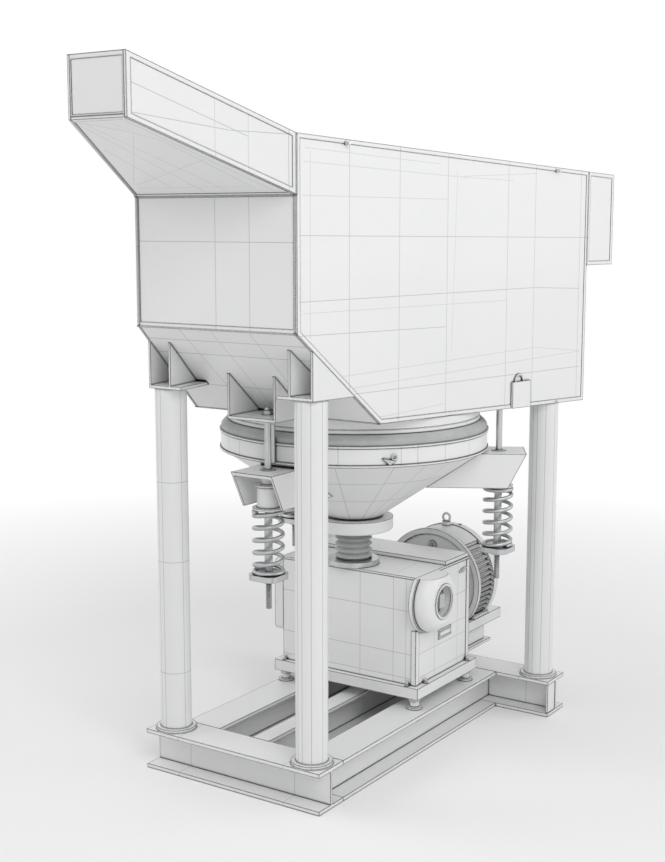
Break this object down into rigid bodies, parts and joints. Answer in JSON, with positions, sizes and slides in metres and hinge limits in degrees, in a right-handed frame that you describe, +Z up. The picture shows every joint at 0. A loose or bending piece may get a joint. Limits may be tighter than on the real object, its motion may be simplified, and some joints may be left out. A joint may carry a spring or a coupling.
{
  "type": "laboratory jig",
  "caption": "Laboratory jig: a flared open tank on four columns with a spring-hung pulsating cone below it, a drive box, motor and steel base frame.",
  "frame": {"origin": "on the floor, middle of the underside of the front base beam, between the two front columns", "axes": "+X along the machine from the feed chute to the discharge launder, +Y to the left, +Z up"},
  "size_m": [1.553, 0.8908, 1.6705],
  "materials": {
    "tank_paint": "satin pale grey paint",
    "cone_paint": "satin pale grey paint",
    "frame_paint": "satin pale grey paint",
    "drive_paint": "satin pale grey paint",
    "motor_paint": "satin pale grey paint",
    "rubber": "matt grey rubber",
    "bright_steel": "turned steel",
    "spring_steel": "spring steel wire",
    "screen_steel": "punched stainless sheet"
  },
  "bodies": {
    "frame": {"base_front_beam": "frame_paint", "base_back_beam": "frame_paint", "base_right_beam": "frame_paint", "base_left_beam": "frame_paint", "base_middle_channel": "frame_paint", "columns_front": "frame_paint", "columns_back": "frame_paint", "column_brackets": "tank_paint", "rod_hanger": "tank_paint", "tank_side_left": "tank_paint", "tank_side_right": "tank_paint", "tank_front_wall": "tank_paint", "tank_slope_plate": "tank_paint", "tank_back_wall": "tank_paint", "tank_bottom_plate": "tank_paint", "tank_collar": "tank_paint", "chute_sides": "tank_paint", "chute_floor": "tank_paint", "chute_end_plate": "tank_paint", "launder_sides": "tank_paint", "launder_floor": "tank_paint", "launder_end_plate": "tank_paint", "screen_deck": "screen_steel", "gate_plate": "tank_paint", "rim_pins": "bright_steel", "diaphragm": "rubber", "hanger_rods": "bright_steel", "springs": "spring_steel", "drive_box": "drive_paint", "drive_box_lid": "drive_paint", "drive_box_strip": "drive_paint", "drive_box_side_cover": "drive_paint", "sub_base": "drive_paint", "bearing_housing": "drive_paint", "bellows": "rubber", "bellows_flange": "bright_steel", "motor_body": "motor_paint", "motor_shield": "motor_paint", "motor_fan_cover": "motor_paint", "motor_bracket": "motor_paint"},
    "cone": {"cone_shell": "cone_paint", "cone_ring": "cone_paint", "cone_boss": "cone_paint", "arm_front": "cone_paint", "arm_back_left": "cone_paint", "arm_back_right": "cone_paint", "drive_rod": "bright_steel"}
  },
  "joints": [
    {"name": "cone_stroke", "type": "slide", "parent": "frame", "child": "cone", "axis": [0, 0, 1], "range_m": [-0.01, 0.01], "deforming": ["springs", "diaphragm", "bellows"]}
  ]
}
